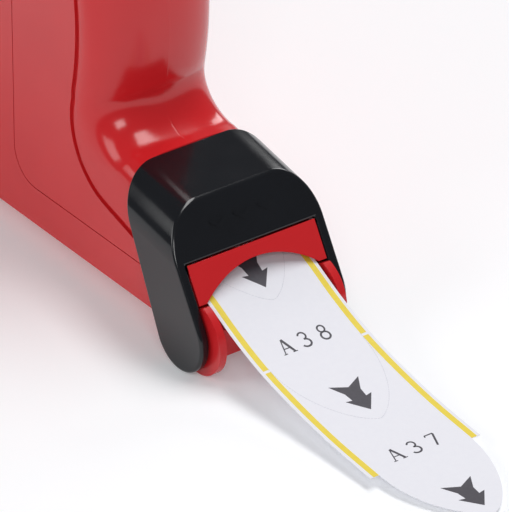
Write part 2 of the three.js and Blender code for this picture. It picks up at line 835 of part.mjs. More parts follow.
// ---- pieces -------------------------------------------------------------------------------
const left = -1;
const right = 1;
let hood = makeHood();
for (const side of [left, right]) {
  hood = hood.subtract(hoodScrewHole(side)).subtract(lipScrewHole(side));
}
piece("rear_housing", makeHeel(makeRearHousing()), redPlastic);
piece("front_cover", makeFrontCover(), redPlastic);
piece("hood", hood, blackPlastic);
piece("mouth_lip", makeLip(), redPlastic);
piece("mouth_cradle", makeCradle(), redPlastic);
piece("hinge_pin", rod(hingeForward, hingeUp, pinRadius, -10.8, 10.8, 16), steel);
piece("roll_spindle", makeSpindle(), greyPlastic);
piece("spindle_cap", makeSpindleCap(), greyPlastic);
const rollHalf = paperWidth / 2;
const hubRadius = coreRadius - coreWall - gap;
piece("core_hub", ring(spindleRadius + gap, hubRadius, rollHalf), greyPlastic);
piece("roll_core", ring(coreRadius - coreWall, coreRadius, rollHalf), cardboard);
piece("paper_roll", ring(coreRadius + gap, rollRadius, rollHalf), paper);
piece("paper_web", makeWeb(), paper);
piece("ticket_strip", makeStrip(), paper);
const rollerHalf = postAcross[0] - gap;
piece(
  "guide_roller",
  rod(rollerCentre.x, rollerCentre.y, rollerRadius, -rollerHalf, rollerHalf).subtract(
    rod(rollerCentre.x, rollerCentre.y, shaftRadius + gap, -wide, wide, 16),
  ),
  greyPlastic,
);
piece("guide_shaft", rod(rollerCentre.x, rollerCentre.y, shaftRadius, -17.8, 17.8, 16), steel);
piece("pressure_spring", makeSpring(), steel);
piece(
  "pressure_spring_screw",
  turned(
    [[0, -1.4], [2, -1.4], [2, 0], [1, 0], [1, 2.8], [0, 2.8]],
    springScrewPlace,
    springWay,
    16,
  ),
  steel,
);
for (const [word, side] of [["left", left], ["right", right]]) {
  const across = side;
  piece(`hood_screw_${word}`, panScrew(hoodScrewPlace(side), hoodScrewWay(side), hoodScrewLength), steel);
  piece(`lip_screw_${word}`, panScrew(lipScrewPlace(side), outOfFront, 4), steel);
  const place = cradleScrewPlaces[side < 0 ? 0 : 1];
  piece(
    `cradle_screw_${word}`,
    panScrew(new THREE.Vector3(place.across, -place.forward, underside - gap), upward, 4.4),
    steel,
  );
  piece(`rubber_foot_${word}`, rod2(footPlace(across), footRadius, 0, 4.3), rubber);
}
piece("wall_plate", makeWallPlate(), steel);
piece("wall_plate_screw_lower", plateScrew(plateScrewPlaces[0]), steel);
piece("wall_plate_screw_upper", plateScrew(plateScrewPlaces[1]), steel);

// The origin is on the surface, at the middle of the object's box.
const box = new THREE.Box3().setFromObject(group);
const middle = box.getCenter(new THREE.Vector3());
group.position.set(-middle.x, -middle.y, -box.min.z);

const dispenser = new THREE.Group();
dispenser.name = "ticket_dispenser";
dispenser.add(group);

export default dispenser;
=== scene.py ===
# %% [markdown]
# # A hand-pull queue ticket dispenser
# The real object is a round red drum that holds a roll of tickets, with a nozzle at its front.
# A black hood stands over the nozzle like an arch, and a strip of numbered paper comes out under
# a red lip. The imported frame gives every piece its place, so this script only adds the looks.

import math

import bmesh
import bpy
import numpy as np
from mathutils import Matrix, Vector


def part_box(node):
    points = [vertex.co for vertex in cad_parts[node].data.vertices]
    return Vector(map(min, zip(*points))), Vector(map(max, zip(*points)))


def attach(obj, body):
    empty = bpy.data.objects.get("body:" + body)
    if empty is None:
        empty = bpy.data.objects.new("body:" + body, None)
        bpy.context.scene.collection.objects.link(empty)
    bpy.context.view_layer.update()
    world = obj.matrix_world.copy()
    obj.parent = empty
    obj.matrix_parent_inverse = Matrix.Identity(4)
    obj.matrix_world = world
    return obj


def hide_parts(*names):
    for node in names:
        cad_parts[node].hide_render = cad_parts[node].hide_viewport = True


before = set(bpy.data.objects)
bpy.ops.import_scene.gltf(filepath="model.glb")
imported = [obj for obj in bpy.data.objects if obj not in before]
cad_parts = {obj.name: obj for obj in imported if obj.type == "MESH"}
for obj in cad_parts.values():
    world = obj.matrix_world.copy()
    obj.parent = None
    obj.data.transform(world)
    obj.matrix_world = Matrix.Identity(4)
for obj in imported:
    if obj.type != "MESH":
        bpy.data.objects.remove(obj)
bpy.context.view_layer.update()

# %% [markdown]
# Side outlines are easiest to write as (forward, up) in millimetres: forward from the drum's axis
# towards the mouth, up from the table. One function turns them into the frame's metres.

# %% Side-view coordinates
MM = 0.001


def middle(node):
    low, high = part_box(node)
    return (low + high) / 2


drum_axis = middle("paper_roll")
drum_up = drum_axis.z / MM


def place(forward, up, across=0.0):
    """A side-view point in millimetres as a point of the frame in metres."""
    return Vector((across * MM, drum_axis.y - forward * MM, up * MM))


def side_view(point):
    """The way back: (forward, up) in millimetres."""
    return (drum_axis.y - point.y) / MM, point.z / MM


def add_object(name, data):
    made = bpy.data.objects.new(name, data)
    bpy.context.scene.collection.objects.link(made)
    return made


print("drum axis is", round(drum_up, 2), "mm up")

# %% [markdown]
# A very long lens, two metres away, keeps the edges nearly parallel. The camera looks down at the
# mouth from the front left.

# %% Camera
LOOK_ACROSS, LOOK_BACK, LOOK_DOWN = 0.59, 0.807, 31.2
CAMERA_DISTANCE, LENS = 2.07, 533
aim = place(126.5, 17.6, 10.0)
level = math.cos(math.radians(LOOK_DOWN))
look = Vector((LOOK_ACROSS * level, LOOK_BACK * level, -math.sin(math.radians(LOOK_DOWN))))
camera_data = bpy.data.cameras.new("camera")
camera_data.lens, camera_data.clip_start = LENS, 0.01
camera = add_object("camera", camera_data)
camera.location = aim - look.normalized() * CAMERA_DISTANCE
camera.rotation_euler = look.to_track_quat("-Z", "Y").to_euler()
bpy.context.scene.camera = camera
bpy.context.scene.view_settings.view_transform = "Standard"

# %% [markdown]
# The table is pale and plain. A long softbox above draws the highlights on the hood, broad ones on
# the left and in front light the flat side and the lip, and a weak one keeps the far edge readable.

# %% Table and lights
FLOOR_HALF, FLOOR_UP = 1.2, -0.0002
SKY_TINT = (0.94, 0.96, 1, 1)
ROOM_LIGHT, BACKDROP_LIGHT = 0.17, 0.85

corners = [(-1, -1), (1, -1), (1, 1), (-1, 1)]
floor = bpy.data.meshes.new("table")
floor.from_pydata([(x * FLOOR_HALF, y * FLOOR_HALF, FLOOR_UP) for x, y in corners], [], [(0, 1, 2, 3)])
table = add_object("table", floor)


def softbox(name, position, target, size, power):
    light = bpy.data.lights.new(name, "AREA")
    light.shape, light.energy = "RECTANGLE", power
    light.size, light.size_y = size
    lamp = add_object(name, light)
    lamp.location = position
    lamp.rotation_euler = (Vector(target) - Vector(position)).to_track_quat("-Z", "Y").to_euler()


for lamp_spec in (
    ("softbox_above", (0.4, -0.1, 1.5), (0, 0, 0), (1.4, 0.5), 15),
    ("softbox_left", (-1.3, 0.35, 0.75), (0, 0, 0.05), (0.9, 0.7), 6),
    ("softbox_front", (-0.8, -1.2, 1.0), (0, 0, 0.05), (0.6, 0.5), 6),
    ("softbox_right", (1.2, 0.6, 0.7), (0, 0, 0.05), (0.3, 0.8), 4),
):
    softbox(*lamp_spec)
world = bpy.data.worlds.new("studio")
bpy.context.scene.world = world
world.use_nodes = True
studio = world.node_tree
background = studio.nodes["Background"].inputs
background["Color"].default_value = SKY_TINT
# The backdrop is white to the eye, but the room it stands in is dim, so gloss stays deep.
ray_kind, strength = studio.nodes.new("ShaderNodeLightPath"), studio.nodes.new("ShaderNodeMath")
strength.operation = "MULTIPLY_ADD"
studio.links.new(ray_kind.outputs["Is Camera Ray"], strength.inputs[0])
strength.inputs[1].default_value, strength.inputs[2].default_value = BACKDROP_LIGHT, ROOM_LIGHT
studio.links.new(strength.outputs[0], background["Strength"])

# %% [markdown]
# Shader maths reads best as plain expressions, so a small class wraps a socket and gives it two
# operators. Every other node comes from one method that takes its settings and its inputs.


# %% Shader expressions
class Wire:
    """A socket in a material's tree, with + and * as Math nodes."""

    def __init__(self, tree, socket):
        self.tree, self.socket = tree, socket

    def maths(self, operation, other):
        return self.tree.add("ShaderNodeMath", {"operation": operation}, {0: self, 1: other})

    def __add__(self, other):
        return self.maths("ADD", other)

    def __mul__(self, other):
        return self.maths("MULTIPLY", other)


class Finish:
    """A material under construction."""

    def __init__(self, name, colour, roughness, metallic=0.0):
        self.material = bpy.data.materials.new(name)
        self.material.use_nodes = True
        self.nodes = self.material.node_tree.nodes
        self.shader = self.nodes["Principled BSDF"]
        start = {"Base Color": (*colour, 1), "Roughness": roughness, "Metallic": metallic}
        for socket, value in start.items():
            self.shader.inputs[socket].default_value = value

    def add(self, kind, settings=None, inputs=None, output=0):
        node = self.nodes.new(kind)
        for key, value in (settings or {}).items():
            setattr(node, key, value)
        for key, value in (inputs or {}).items():
            if isinstance(value, Wire):
                self.material.node_tree.links.new(value.socket, node.inputs[key])
            else:
                node.inputs[key].default_value = value
        return Wire(self, node.outputs[output])

    def where(self):
        return self.add("ShaderNodeTexCoord", output="Object")

    def noise(self, scale, detail=3.0, stretch=None):
        at = self.where()
        if stretch:
            at = self.add("ShaderNodeMapping", inputs={"Vector": at, "Scale": stretch})
        return self.add("ShaderNodeTexNoise", inputs={"Vector": at, "Scale": scale, "Detail": detail})

    def blend(self, factor, first, second):
        tones = {"Factor": factor, 6: (*first, 1), 7: (*second, 1)}
        return self.add("ShaderNodeMix", {"data_type": "RGBA"}, tones, output=2)

    def wear(self, wire, socket):
        self.material.node_tree.links.new(wire.socket, self.shader.inputs[socket])

    def bumps(self, height, strength, distance):
        inputs = {"Height": height, "Strength": strength, "Distance": distance}
        self.wear(self.add("ShaderNodeBump", inputs=inputs), "Normal")


# %% [markdown]
# Moulded ABS is glossy, but never a perfect mirror: the tool leaves a faint orange peel, and
# handling leaves soft smears that change how sharply it reflects.


# %% Plastics
SMEAR, PEEL = 0.12, 0.12
FLASH_FLAT, FLASH_FOOT = 0.00012, 0.0003


def moulded(name, deep, bright, roughness, witness=False):
    finish = Finish(name, deep, roughness)
    cloud = finish.noise(38, 2)
    finish.wear(finish.blend(cloud, deep, bright), "Base Color")
    smear = finish.noise(90, 4, stretch=(1, 1, 0.35))
    finish.wear(smear * SMEAR + (roughness - SMEAR / 2), "Roughness")
    height = finish.noise(700, 2)
    if witness:
        # The two halves of the mould leave a hair of flash where they met, down the middle.
        parts = finish.add("ShaderNodeSeparateXYZ", inputs={"Vector": finish.where()})
        off = finish.add("ShaderNodeMath", {"operation": "ABSOLUTE"}, {0: parts})
        fall = {"Value": off, "From Min": FLASH_FLAT, "From Max": FLASH_FOOT,
                "To Min": 12.0, "To Max": 0.0}
        height = height + finish.add("ShaderNodeMapRange", inputs=fall)
    finish.bumps(height, PEEL, 0.00003)
    return finish.material


RED = ((0.56, 0.012, 0.016), (0.64, 0.018, 0.022), 0.17)
red_plastic = moulded("red_gloss_abs", *RED)
red_shell = moulded("red_gloss_shell", *RED, witness=True)
black_plastic = moulded("black_gloss_abs", (0.004, 0.0045, 0.006), (0.007, 0.008, 0.011), 0.14)
grey_plastic = moulded("grey_satin_acetal", (0.42, 0.43, 0.44), (0.5, 0.51, 0.52), 0.42)


def bare_metal(name, dark, light, roughness, stretch=(1, 1, 12)):
    finish = Finish(name, dark, roughness, metallic=1.0)
    grain = finish.noise(500, 4, stretch=stretch)
    finish.wear(finish.blend(grain, dark, light), "Base Color")
    finish.wear(grain * 0.25 + (roughness - 0.1), "Roughness")
    finish.bumps(grain, 0.15, 0.00002)
    return finish.material


turned_steel = bare_metal("turned_steel", (0.45, 0.46, 0.48), (0.62, 0.63, 0.65), 0.3)
spring_steel = bare_metal("spring_steel", (0.38, 0.4, 0.43), (0.55, 0.57, 0.6), 0.28, (12, 1, 1))
zinc_plate = bare_metal("zinc_plate", (0.5, 0.52, 0.55), (0.68, 0.69, 0.68), 0.38, (1, 1, 1))


def soft_finish(name, dark, light, roughness, scale, strength, distance):
    finish = Finish(name, dark, roughness)
    grain = finish.noise(scale, 5)
    finish.wear(finish.blend(grain, dark, light), "Base Color")
    finish.bumps(grain, strength, distance)
    return finish.material


rubber = soft_finish("moulded_rubber", (0.012, 0.012, 0.012), (0.03, 0.03, 0.03), 0.8, 900, 0.4, 0.0001)
cardboard = soft_finish("cardboard", (0.3, 0.2, 0.11), (0.45, 0.33, 0.2), 0.9, 400, 0.5, 0.0001)
PAPER = (0.8, 0.8, 0.86), (0.84, 0.84, 0.89)
ticket_paper = soft_finish("ticket_paper", *PAPER, 0.62, 600, 0.06, 0.00005)
yellow_ink = soft_finish("yellow_ink", (0.8, 0.6, 0.03), (0.86, 0.7, 0.08), 0.6, 700, 0.1, 0.00003)
dark_ink = soft_finish("dark_ink", (0.045, 0.042, 0.055), (0.075, 0.07, 0.085), 0.6, 900, 0.1, 0.00003)
table_top = soft_finish("pale_table", (0.86, 0.87, 0.88), (0.88, 0.89, 0.9), 0.9, 3, 0.0, 0.0001)
# A faint glow of its own keeps the table as pale as the backdrop.
table_look = table_top.node_tree.nodes["Principled BSDF"].inputs
table_look["Emission Color"].default_value = (0.96, 0.97, 1, 1)
table_look["Emission Strength"].default_value = 0.16
table.data.materials.append(table_top)

# %% [markdown]
# Paper seen on edge is a stack of hundreds of turns, which shows as fine rings round the core.


# %% Edge of the wound paper
wound = Finish("wound_paper_edge", (0.8, 0.8, 0.85), 0.75)
to_axis = {"Vector": wound.where(), "Location": (0, -drum_axis.y, -drum_axis.z)}
at = wound.add("ShaderNodeMapping", inputs=to_axis)
rings = wound.add("ShaderNodeTexWave", {"wave_type": "RINGS", "rings_direction": "X"},
                  {"Vector": at, "Scale": 420.0, "Distortion": 1.5, "Detail": 3.0})
wound.wear(wound.blend(rings, (0.62, 0.62, 0.68), (0.86, 0.86, 0.9)), "Base Color")
wound.bumps(rings, 0.2, 0.0001)
roll_paper = wound.material

# %% [markdown]
# Most pieces start as a side outline pushed out across the object. The helpers below make such
# plates and lofts, and cut them with Boolean modifiers.


# %% Solid helpers
MERGE, WIDE = 1e-7, 60.0


def new_piece(name, points, faces, slivers=False):
    """A mesh whose doubled points are merged, and whose slivers are dissolved where asked."""
    data = bpy.data.meshes.new(name)
    data.from_pydata([tuple(p) for p in points], [], faces)
    shape = bmesh.new()
    shape.from_mesh(data)
    bmesh.ops.remove_doubles(shape, verts=shape.verts, dist=MERGE)
    if slivers:
        bmesh.ops.dissolve_degenerate(shape, edges=shape.edges[:], dist=MERGE)
    bmesh.ops.recalc_face_normals(shape, faces=shape.faces)
    shape.to_mesh(data)
    shape.free()
    return add_object(name, data)


def around(count, total):
    """Four-sided faces between loops of as many points."""
    faces = []
    for start in range(0, total - count, count):
        for i in range(count):
            a, b = start + i, start + (i + 1) % count
            faces.append((a, b, b + count, a + count))
    return faces


def loft(name, ribs):
    """A closed solid from ribs, each a closed loop of as many points."""
    points, count = [p for rib in ribs for p in rib], len(ribs[0])
    last = len(points) - 1
    caps = [tuple(range(count)), tuple(range(last, last - count, -1))]
    return new_piece(name, points, caps + around(count, len(points)))


def plate(name, outline, low=-WIDE, high=WIDE):
    """A side outline in millimetres, made solid between two places across the object."""
    return loft(name, [[place(f, u, x) for f, u in outline] for x in (low, high)])


def oval(across, up, wide, tall, start, end, steps=20):
    turns = np.radians(np.linspace(start, end, steps + 1))
    return [(across + wide * math.cos(t), up + tall * math.sin(t)) for t in turns]


def arc(centre, radius, start, end, steps=16):
    return oval(*centre, radius, radius, start, end, steps)


def beside(line, width):
    """Offsets to the left of each point of a line, half a width long."""
    ways = np.gradient(line, axis=0)
    ways /= np.linalg.norm(ways, axis=1)[:, None]
    return np.stack([-ways[:, 1], ways[:, 0]], axis=1) * width / 2


def evaluated(made):
    """Applies the modifiers of a piece to its mesh."""
    graph = bpy.context.evaluated_depsgraph_get()
    data = bpy.data.meshes.new_from_object(made.evaluated_get(graph))
    made.modifiers.clear()
    made.data = data
    return made


def cut(base, tool, operation="DIFFERENCE"):
    change = base.modifiers.new("change", "BOOLEAN")
    change.operation, change.solver, change.object = operation, "MANIFOLD", tool
    evaluated(base)
    bpy.data.objects.remove(tool)
    return base


def join(base, tool):
    return cut(base, tool, "UNION")


def trim(base, tool):
    return cut(base, tool, "INTERSECT")


def smooth(made, angle=32, bevel=0.0, segments=2, clamp=True):
    """Soft edges with a bevel in millimetres, and smooth shading across all but sharp edges."""
    if bevel:
        clean = bmesh.new()
        clean.from_mesh(made.data)
        flat = math.radians(0.4)
        bmesh.ops.dissolve_limit(clean, angle_limit=flat, verts=clean.verts, edges=clean.edges)
        clean.to_mesh(made.data)
        clean.free()
        soft = made.modifiers.new("bevel", "BEVEL")
        soft.width, soft.segments, soft.limit_method = bevel * MM, segments, "ANGLE"
        soft.angle_limit = math.radians(angle)
        soft.use_clamp_overlap = clamp
        evaluated(made)
    made.data.shade_smooth()
    made.data.set_sharp_from_angle(angle=math.radians(angle))
    # Large faces lead the normals, so a flat side stays flat beside a rounded rim.
    normals = made.modifiers.new("normals", "WEIGHTED_NORMAL")
    normals.keep_sharp, normals.weight = True, 80
    return evaluated(made)


def dress(made, material, body, slot, *nodes):
    """Gives a piece its material and its body, and hides the nodes that it stands for; the slot is not
    used.
    """
    made.data.materials.clear()
    made.data.materials.append(material)
    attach(made, body)
    if nodes:
        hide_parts(*nodes)
    print(made.name, len(made.data.polygons), "faces on", body)
    return made


# %% [markdown]
# ## The red shell
# The drum is a flat-sided disc whose rim swells outwards like half an ellipse. At the front the
# rim runs through a hollow sweep into the nozzle and turns boxier, so that it fits the hood.
# The whole skin is one loft of ribs that follow the outline, which keeps reflections unbroken.

# %% The shell's sizes, in millimetres
FLANGE_RADIUS, CROWN_RADIUS = 89.0, 101.0
HALF_WIDTH, WALL, UNDERSIDE = 20.5, 1.8, 9.0
FLANGE_SWEEP = ((104.9, 52.2), 19.0, 16.0)
CROWN_SWEEP = ((109.2, 59.8), 10.8, 9.7)
RIM_POWER, NOZZLE_POWER, SPIGOT_POWER = 2.0, 4.5, 10.0
NOZZLE_END = 133.0
GAP = 0.3
REAR_LAND = -96.0
NECK, NOZZLE_FOOT = 110.4, 94.0
DRUM_END, CORE_END = 236, 235
BIG = 320.0


def sweep_point(sweep, inset, share):
    """A point of the hollow curve, from the drum at share 0 to the nozzle at share 1."""
    (forward, up), radius, slope = sweep
    begin = math.atan2(drum_up - up, -forward)
    if begin < 0:
        begin += 2 * math.pi
    angle = begin + (math.radians(270 - slope) - begin) * share
    return np.array([forward, up]) + (radius + inset) * np.array([math.cos(angle), math.sin(angle)])


def sweep_pair(inset, share):
    return [sweep_point(sweep, inset, share) for sweep in (FLANGE_SWEEP, CROWN_SWEEP)]


def slide(start, forward, slope):
    """The point that a fall of a slope in degrees reaches at another place forward."""
    return np.array([forward, start[1] - (forward - start[0]) * math.tan(math.radians(slope))])


ACROSS_STEPS = 48


def rib(side, crown, power, inset, base):
    """One rib: up the side, over the swelling rim and down again, closed at its base."""
    half = HALF_WIDTH - inset
    points = [place(*base, -half)]
    for i in range(ACROSS_STEPS + 1):
        turn = math.pi * (1 - i / ACROSS_STEPS)
        share = math.cos(turn)
        x = math.copysign(abs(share) ** (2 / power), share) * half
        rise = max(0.0, math.sin(turn)) ** (2 / power)
        points.append(place(*(side + (crown - side) * rise), x))
    return points + [place(*base, half)]


def drum_point(radius, angle):
    return np.array([radius * math.cos(angle), drum_up + radius * math.sin(angle)])


def rim_angle(sweep, share, end):
    point = sweep_point(sweep, 0, 0)
    start = math.atan2(point[1] - drum_up, point[0])
    return start + (end - start) * share


def body_skin(name, inset, sweep_steps, drum_steps):
    """The outer skin, or with an inset the space that it holds."""
    floor = UNDERSIDE + inset - 4
    side, crown = sweep_pair(inset, 1)
    drop, longer, power = (3 + GAP, 5, SPIGOT_POWER) if inset else (0, 0, NOZZLE_POWER)
    ribs = []
    for forward, down in ((NOZZLE_END + longer, drop), (NECK, drop * 0.9)):
        crown_there = slide(crown, forward, CROWN_SWEEP[2]) - (0, down)
        side_there = slide(side, forward, FLANGE_SWEEP[2])
        ribs.append(rib(side_there, crown_there, power, inset, (forward, floor)))
    for i in range(sweep_steps + 1):
        share = 1 - i / sweep_steps
        base = np.array([NOZZLE_FOOT, floor]) * share + np.array([0.0, drum_up]) * (1 - share)
        power = RIM_POWER + (NOZZLE_POWER - RIM_POWER) * share**1.5
        ribs.append(rib(*sweep_pair(inset, share), power, inset, base))
    for i in range(1, drum_steps + 1):
        end = math.radians(DRUM_END)
        side = drum_point(FLANGE_RADIUS - inset, rim_angle(FLANGE_SWEEP, i / drum_steps, end))
        crown = drum_point(CROWN_RADIUS - inset, rim_angle(CROWN_SWEEP, i / drum_steps, end))
        ribs.append(rib(side, crown, RIM_POWER, inset, (0, drum_up)))
    skin = loft(name, ribs)
    half = HALF_WIDTH - inset
    last = drum_point(FLANGE_RADIUS - inset - 2, math.radians(CORE_END))
    core = [(1, drum_up + 2), last, (-40, floor), (NOZZLE_FOOT - 0.1, floor)]
    join(skin, plate("core", core, -half, half))
    rear_end, base_up = REAR_LAND + inset, UNDERSIDE + inset
    kept = [(rear_end, base_up), (BIG, base_up), (BIG, BIG), (rear_end, BIG)]
    return trim(skin, plate("kept", kept))


SWEEP_STEPS, DRUM_STEPS = ((36, 180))
shell = body_skin("shell", 0.0, SWEEP_STEPS, DRUM_STEPS)
hollow = body_skin("hollow", WALL, 16, 96)
print("shell skin has", len(shell.data.polygons), "faces")

# %% [markdown]
# The wall of the shell is the outer skin less the inner one. A groove just inside the edge of each
# flat side marks the rim off from the side face.

# %% Hood sizes and its leaning front
HOOD_HALF, HOOD_WALL, HOOD_CORNER = 24.6, 3.0, 12.5
HOOD_REAR = np.array([109.8, 49.0])
HOOD_FRONT = slide(HOOD_REAR, 130.3, CROWN_SWEEP[2])
REAR_LEAN, FRONT_LEAN = 24.5, 30.5
TOE_CENTRE, TOE_RADIUS = (138.84, 10.56), 10.56
PANEL_HEIGHT = 16.0


def leaning(degrees):
    return np.array([math.sin(math.radians(degrees)), -math.cos(math.radians(degrees))])


down_rear, down_front = leaning(REAR_LEAN), leaning(FRONT_LEAN)
into_hood = np.array([down_front[1], -down_front[0]])


def on_front(down, depth=0.0):
    """A point down the hood's leaning front, and in from its face."""
    return HOOD_FRONT + down_front * down + into_hood * depth


def sloped(name, section, base, degrees, start, stop):
    """A section of (across, up), run along a way that falls by some degrees."""
    tilt = math.radians(degrees)
    along, up = np.array([math.cos(tilt), -math.sin(tilt)]), np.array([math.sin(tilt), math.cos(tilt)])
    return loft(name, [[place(*(base + along * at + up * v), x) for x, v in section]
                       for at in (start, stop)])


def arch(name, half, corner, lower):
    """The hood's inverted-U section, run along the slope of its top."""
    section = [(-half, -WIDE), (half, -WIDE)]
    section += arc((half - corner, -lower - corner), corner, 0, 90, 20)
    section += arc((corner - half, -lower - corner), corner, 90, 180, 20)
    return sloped(name, section, HOOD_REAR, CROWN_SWEEP[2], -40.0, 50.0)


# %% Wall, groove and parting line
GROOVE_INSET, GROOVE_WIDTH, GROOVE_DEPTH, GROOVE_END = 1.1, 1.9, 0.9, 121.0
PARTING_UP, PARTING_FORWARD, PARTING_CORNER = 20.5, 55.5, 10.0


def groove_outline(inset):
    side = sweep_point(FLANGE_SWEEP, inset, 1)
    points = [slide(side, GROOVE_END, FLANGE_SWEEP[2])]
    points += [sweep_point(FLANGE_SWEEP, inset, 1 - i / 24) for i in range(25)]
    angles = np.linspace(rim_angle(FLANGE_SWEEP, 0, 0), math.radians(225), 121)[1:]
    points += [drum_point(FLANGE_RADIUS - inset, a) for a in angles]
    return [*points, (GROOVE_END, UNDERSIDE + 4)]


cut(shell, hollow)
closing = [(-54, 26), (60, 40), (96, 27), (125, 20), (125, -10), (-70, -10), (-70, 24)]
for low, high in ((-WIDE, GROOVE_DEPTH - HALF_WIDTH), (HALF_WIDTH - GROOVE_DEPTH, WIDE)):
    band = plate("band", groove_outline(GROOVE_INSET), low, high)
    cut(band, plate("kept", groove_outline(GROOVE_INSET + GROOVE_WIDTH), -70, 70))
    cut(band, plate("closing", closing, -70, 70))
    cut(shell, band)

start = HOOD_REAR - (GAP, 0)
outside = [(start[0], BIG), start, start + down_rear * 80, (BIG, -30), (BIG, BIG)]
jacket = plate("jacket", outside)
cut(jacket, arch("inside", HOOD_HALF - HOOD_WALL - GAP, HOOD_CORNER - HOOD_WALL, HOOD_WALL + GAP))
cut(shell, jacket)


def cover_region(clearance):
    corner = (PARTING_FORWARD + PARTING_CORNER, PARTING_UP + PARTING_CORNER)
    bend = arc(corner, PARTING_CORNER - clearance, 270, 180, 24)
    outline = [(BIG, PARTING_UP + clearance), *bend, (PARTING_FORWARD + clearance, BIG), (BIG, BIG)]
    return plate("cover_region", outline)


# %% [markdown]
# The cover swings up on a pin through three knuckles on the ridge. Each half keeps a round pocket
# round the other's knuckles, so the same shapes clear each other at every angle.

# %% Knuckles, bores and the rear land
hinge_axis = side_view(middle("hinge_pin"))
KNUCKLE_RADIUS, COVER_KNUCKLE, REAR_KNUCKLE_END = 3.8, 5.5, 10.5
POCKET_RADIUS = KNUCKLE_RADIUS + 0.5
PIN_BORE, AXLE_BORE, SHANK = 1.8, 6.3, 1.5


def rod(name, centre, radius, low=-WIDE, high=WIDE, steps=40):
    """A round bar across the object."""
    return plate(name, arc(centre, radius, 0, 360 - 360 / steps, steps - 1), low, high)


def ring(radius):
    angles = np.linspace(0, 2 * math.pi, 33)[:-1]
    return [(radius * math.cos(a), radius * math.sin(a)) for a in angles]


def upright(name, forward, across, radius, low, high):
    """An upright round bar at a place on the underside."""
    return loft(name, [[place(forward + f, up, across + x) for f, x in ring(radius)]
                       for up in (low, high)])


def fore_aft(name, up, radius, start, end, end_radius=None):
    """A round bar or a cone that runs forward in the middle plane."""
    ends = ((start, radius), (end, end_radius or radius))
    return loft(name, [[place(at, up + u, x) for x, u in ring(r)] for at, r in ends])


def both(stem, first="left", second="right"):
    """The middles of a pair of nodes."""
    return {word: middle(f"{stem}_{word}") for word in (first, second)}


rear = shell
cover = add_object("front_shell", shell.data.copy())
rear.name = "rear_shell"
cut(rear, cover_region(0.0))
trim(cover, cover_region(GAP))
cover_end = [(0, 0), (0, BIG), (128.2, BIG), (128.2, 42), (NOZZLE_END, 34), (NOZZLE_END, 0)]
trim(cover, plate("cover_end", cover_end))

cut(rear, rod("pocket", hinge_axis, POCKET_RADIUS, -COVER_KNUCKLE - GAP, COVER_KNUCKLE + GAP))
join(cover, rod("knuckle", hinge_axis, KNUCKLE_RADIUS, -COVER_KNUCKLE, COVER_KNUCKLE))
for hood_screw, sign in zip(both("hood_screw").values(), (-1, 1)):
    low, high = sorted((sign * (COVER_KNUCKLE + GAP), sign * REAR_KNUCKLE_END))
    join(rear, rod("knuckle", hinge_axis, KNUCKLE_RADIUS, low, high))
    low, high = sorted((sign * COVER_KNUCKLE, sign * (REAR_KNUCKLE_END + GAP)))
    cut(cover, rod("pocket", hinge_axis, POCKET_RADIUS, low, high))
    low, high = sorted((sign * 15.0, sign * 23.6))
    cut(cover, rod("bore", side_view(hood_screw), SHANK, low, high))
for half in (rear, cover):
    cut(half, rod("bore", hinge_axis, PIN_BORE))
cut(rear, rod("axle_bore", (0, drum_up), AXLE_BORE, steps=64))

# %% Heel, foot pockets, bosses and bores of the tub
HEEL_TOP, HEEL_BASE, HEEL_HALF = 11, 9, 17
feet = both("rubber_foot")
heel_at = side_view(feet["left"])[0]
heel = [(heel_at - HEEL_TOP, UNDERSIDE + 0.5), (heel_at - HEEL_BASE, 2), (heel_at + HEEL_BASE, 2),
        (heel_at + HEEL_TOP, UNDERSIDE + 0.5)]
join(rear, plate("heel", heel, -HEEL_HALF, HEEL_HALF))
for foot in feet.values():
    cut(rear, upright("pocket", heel_at, foot.x / MM, 5.3, -2, 4.6))
cradle_screws = [(side_view(screw)[0], screw.x / MM) for screw in both("cradle_screw").values()]
for forward, across in cradle_screws:
    cut(rear, upright("bore", forward, across, SHANK, 8, 12))
plate_screws = [side_view(screw)[1] for screw in both("wall_plate_screw", "lower", "upper").values()]
for up in plate_screws:
    join(rear, fore_aft("boss", up, 4, REAR_LAND + 0.001, REAR_LAND + 9))
    cut(rear, fore_aft("pilot", up, SHANK, REAR_LAND - 1, REAR_LAND + 7))
KEYHOLES = (drum_up - 8, drum_up + 8)
for up in KEYHOLES:
    cut(rear, fore_aft("entry", up, 4.6, REAR_LAND - 2, REAR_LAND + 5))
for half, body, node in ((rear, "housing", "rear_housing"), (cover, "cover", "front_cover")):
    dress(smooth(half, bevel=0.22), red_shell, body, "red_plastic", node)

# %% [markdown]
# ## The hood
# A black arch with two legs, moulded in one piece. The side outline gives the lean of the legs, the
# arch section the rounded shoulders, and a wide bevel the bright line along the front edge.


# %% Hood
toe = arc(TOE_CENTRE, TOE_RADIUS, 180 + REAR_LEAN, 360 + FRONT_LEAN, 32)
hood = plate("hood_shell", [HOOD_REAR, *toe, HOOD_FRONT], -HOOD_HALF, HOOD_HALF)
trim(hood, arch("outer_arch", HOOD_HALF, HOOD_CORNER, 0.0))
inner_half = HOOD_HALF - HOOD_WALL
inside = [(80, -30), (80, 80), on_front(-30, HOOD_WALL), on_front(PANEL_HEIGHT, HOOD_WALL),
          on_front(PANEL_HEIGHT, -20), (BIG, -30)]
opening = plate("opening", inside, -inner_half, inner_half)
trim(opening, arch("inner_arch", inner_half, HOOD_CORNER - HOOD_WALL, HOOD_WALL))
cut(hood, opening)
smooth(hood, bevel=0.8, segments=4, clamp=False)
dress(hood, black_plastic, "cover", "black_plastic", "hood")

